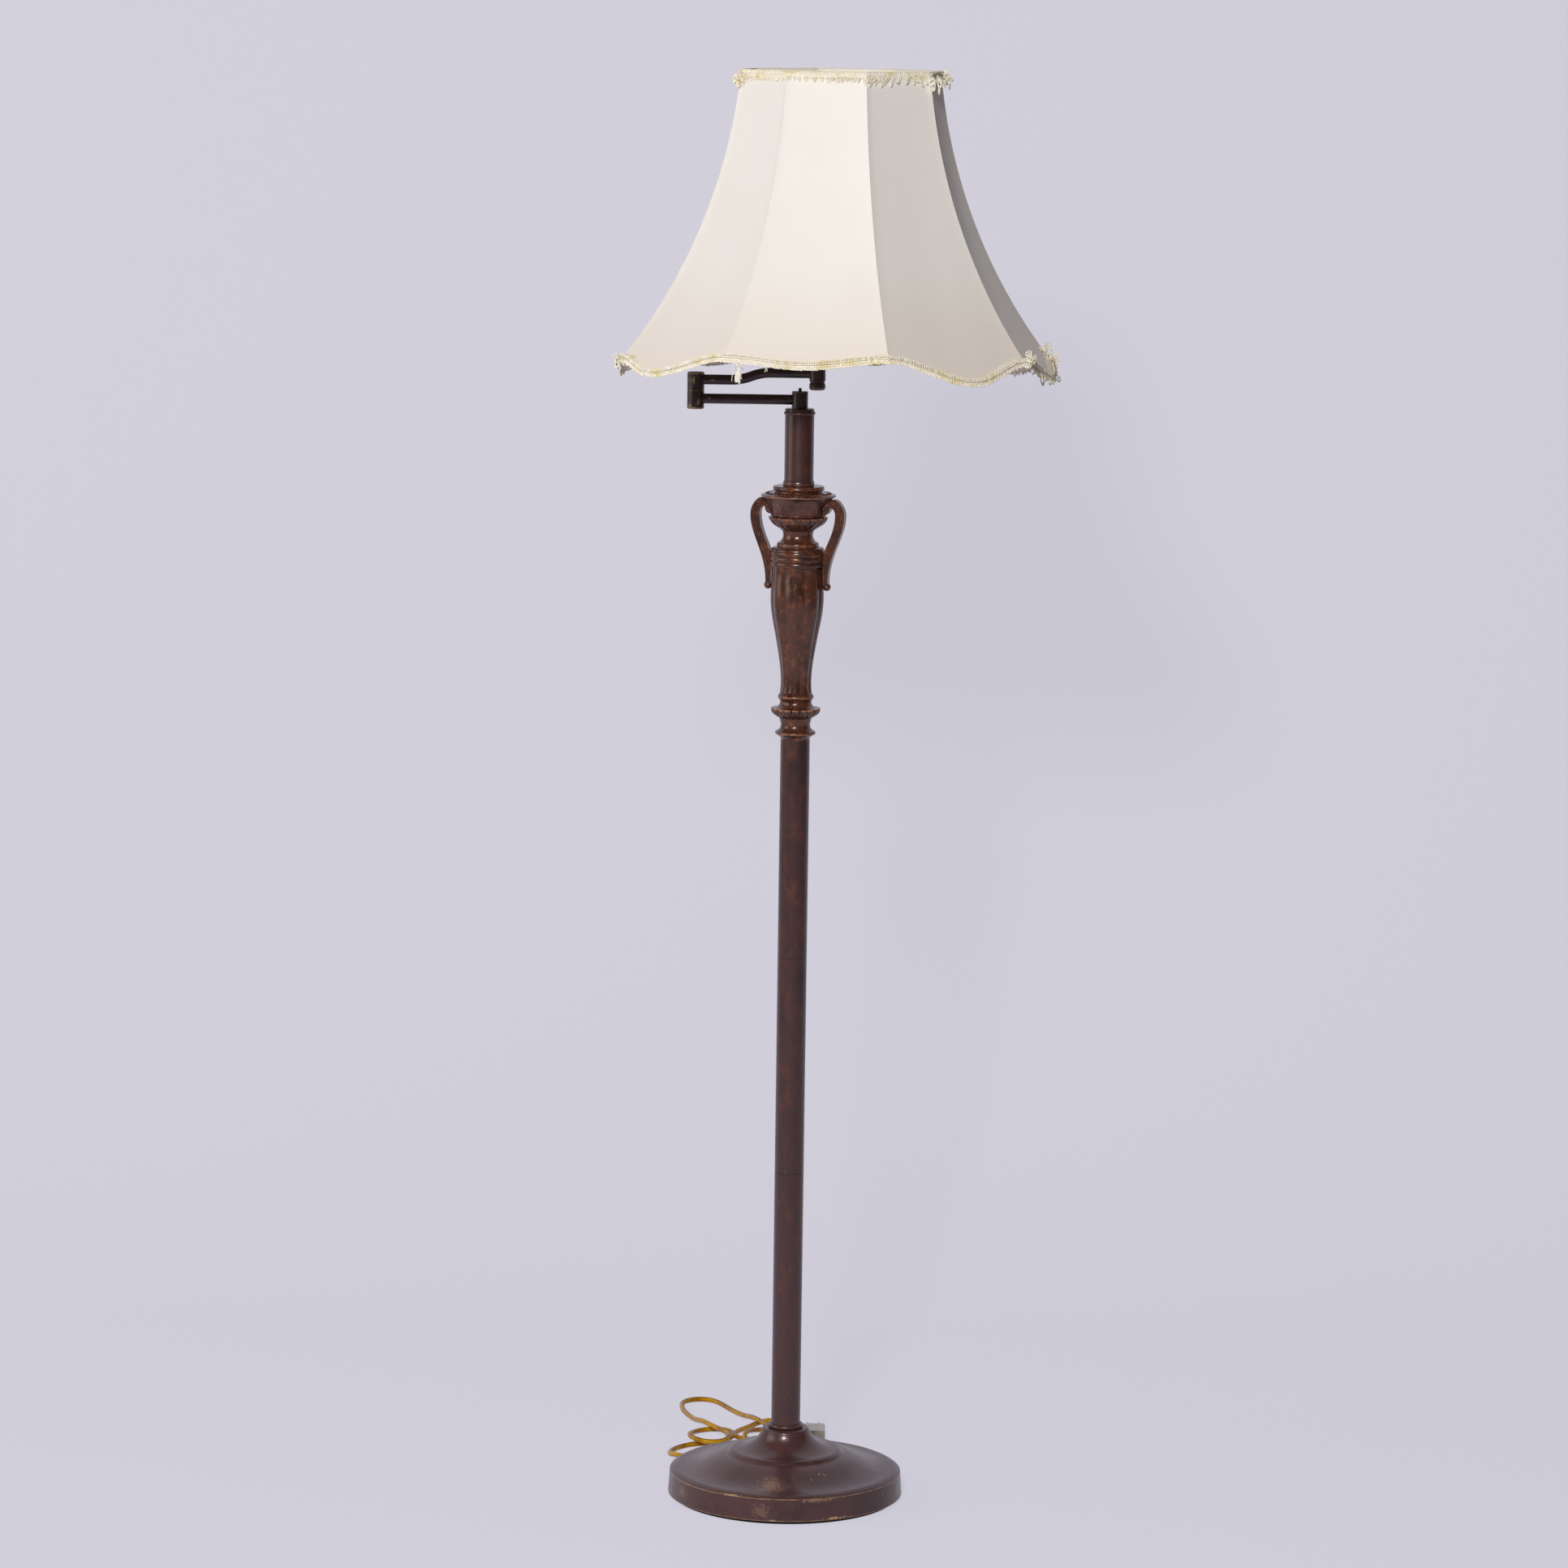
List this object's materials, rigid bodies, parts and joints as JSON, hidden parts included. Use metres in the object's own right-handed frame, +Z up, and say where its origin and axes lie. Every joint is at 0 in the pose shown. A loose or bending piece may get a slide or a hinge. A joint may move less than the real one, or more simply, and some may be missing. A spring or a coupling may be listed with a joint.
{
  "type": "swing-arm floor lamp",
  "caption": "Tall floor lamp with a round weighted base, slim pole, fluted urn with scroll handles, folding swing arm and scalloped bell shade.",
  "frame": {"origin": "centre of the base pad's underside, on the floor under the pole's axis", "axes": "+Z up along the pole, -Y to the front of the lamp, with the swing arm folded along X"},
  "size_m": [0.4589, 0.608, 1.5197],
  "materials": {
    "felt": "coarse felt",
    "cast_iron_raw": "rough cast",
    "base_paint": "dark reddish brown, satin, worn at the edges",
    "zinc": "zinc plated",
    "cord_plastic": "semi-clear golden amber, glossy and soft",
    "pole_paint": "dark reddish brown, satin",
    "urn_bronze": "antique bronze paint over casting, mottled",
    "brass": "aged brass",
    "plug_plastic": "clear whitish moulding",
    "arm_bronze": "antique bronze paint, worn to pale gold at the edges",
    "card": "fibre card",
    "phenolic": "moulded phenolic",
    "aluminium_cap": "spun",
    "bulb_glass": "frosted white",
    "frame_wire": "white painted wire",
    "shade_cloth": "cream woven cloth",
    "lining_cloth": "white lining cloth",
    "trim_gimp": "pale gold braid and looped fringe, worn"
  },
  "bodies": {
    "stand": {"floor_pad": "felt", "base_weight": "cast_iron_raw", "base_cover": "base_paint", "base_nipple": "zinc", "base_washer": "zinc", "base_nut": "zinc", "cord_bushing": "cord_plastic", "inner_lead": "cord_plastic", "foot_ring": "base_paint", "lower_pole": "pole_paint", "middle_pole": "pole_paint", "upper_pole": "pole_paint", "lower_pole_plugs": "zinc", "middle_pole_plugs": "zinc", "upper_pole_plugs": "zinc", "pole_couplers": "zinc", "gadroon_collar": "urn_bronze", "vase_body": "urn_bronze", "pedestal_cup": "urn_bronze", "left_handle": "urn_bronze", "right_handle": "urn_bronze", "check_ring": "urn_bronze", "urn_rod": "zinc", "neck_foot": "pole_paint", "neck_tube": "pole_paint", "neck_cap": "pole_paint", "swivel_stem": "brass", "cord": "cord_plastic", "cord_coil": "cord_plastic", "cord_tail": "cord_plastic", "plug_body": "plug_plastic", "plug_blades": "brass"},
    "lower_arm": {"pole_hub": "arm_bronze", "lower_arm_tube": "arm_bronze", "elbow_lower_hub": "arm_bronze", "elbow_pivot": "zinc", "elbow_washer": "brass"},
    "upper_arm": {"elbow_upper_hub": "arm_bronze", "upper_arm_tube": "arm_bronze", "socket_block": "arm_bronze", "block_cap": "arm_bronze", "socket_nipple": "zinc", "harp_saddle": "brass", "harp_sleeves": "brass", "harp": "brass", "harp_stud": "brass", "finial": "brass", "socket_cap": "brass", "socket_shell": "brass", "socket_liner": "card", "socket_core": "phenolic", "screw_shell": "brass", "bulb_base": "aluminium_cap", "bulb_glass": "bulb_glass", "shade_spider": "brass", "shade_frame": "frame_wire", "shade_fabric": "shade_cloth", "shade_lining": "lining_cloth", "shade_trim": "trim_gimp"},
    "switch_knob": {"switch_knob": "phenolic"}
  },
  "joints": [
    {"name": "lower_arm_swing", "type": "hinge", "parent": "stand", "child": "lower_arm", "pos_m": [0, 0, 1.177], "axis": [0, 0, 1], "range_deg": [-165, 165]},
    {"name": "upper_arm_swing", "type": "hinge", "parent": "lower_arm", "child": "upper_arm", "pos_m": [-0.109, 0, 1.195], "axis": [0, 0, 1], "range_deg": [-165, 165]},
    {"name": "switch_turn", "type": "hinge", "parent": "upper_arm", "child": "switch_knob", "pos_m": [0.018, -0.026, 1.23485], "axis": [0, 1, 0], "continuous": true}
  ]
}
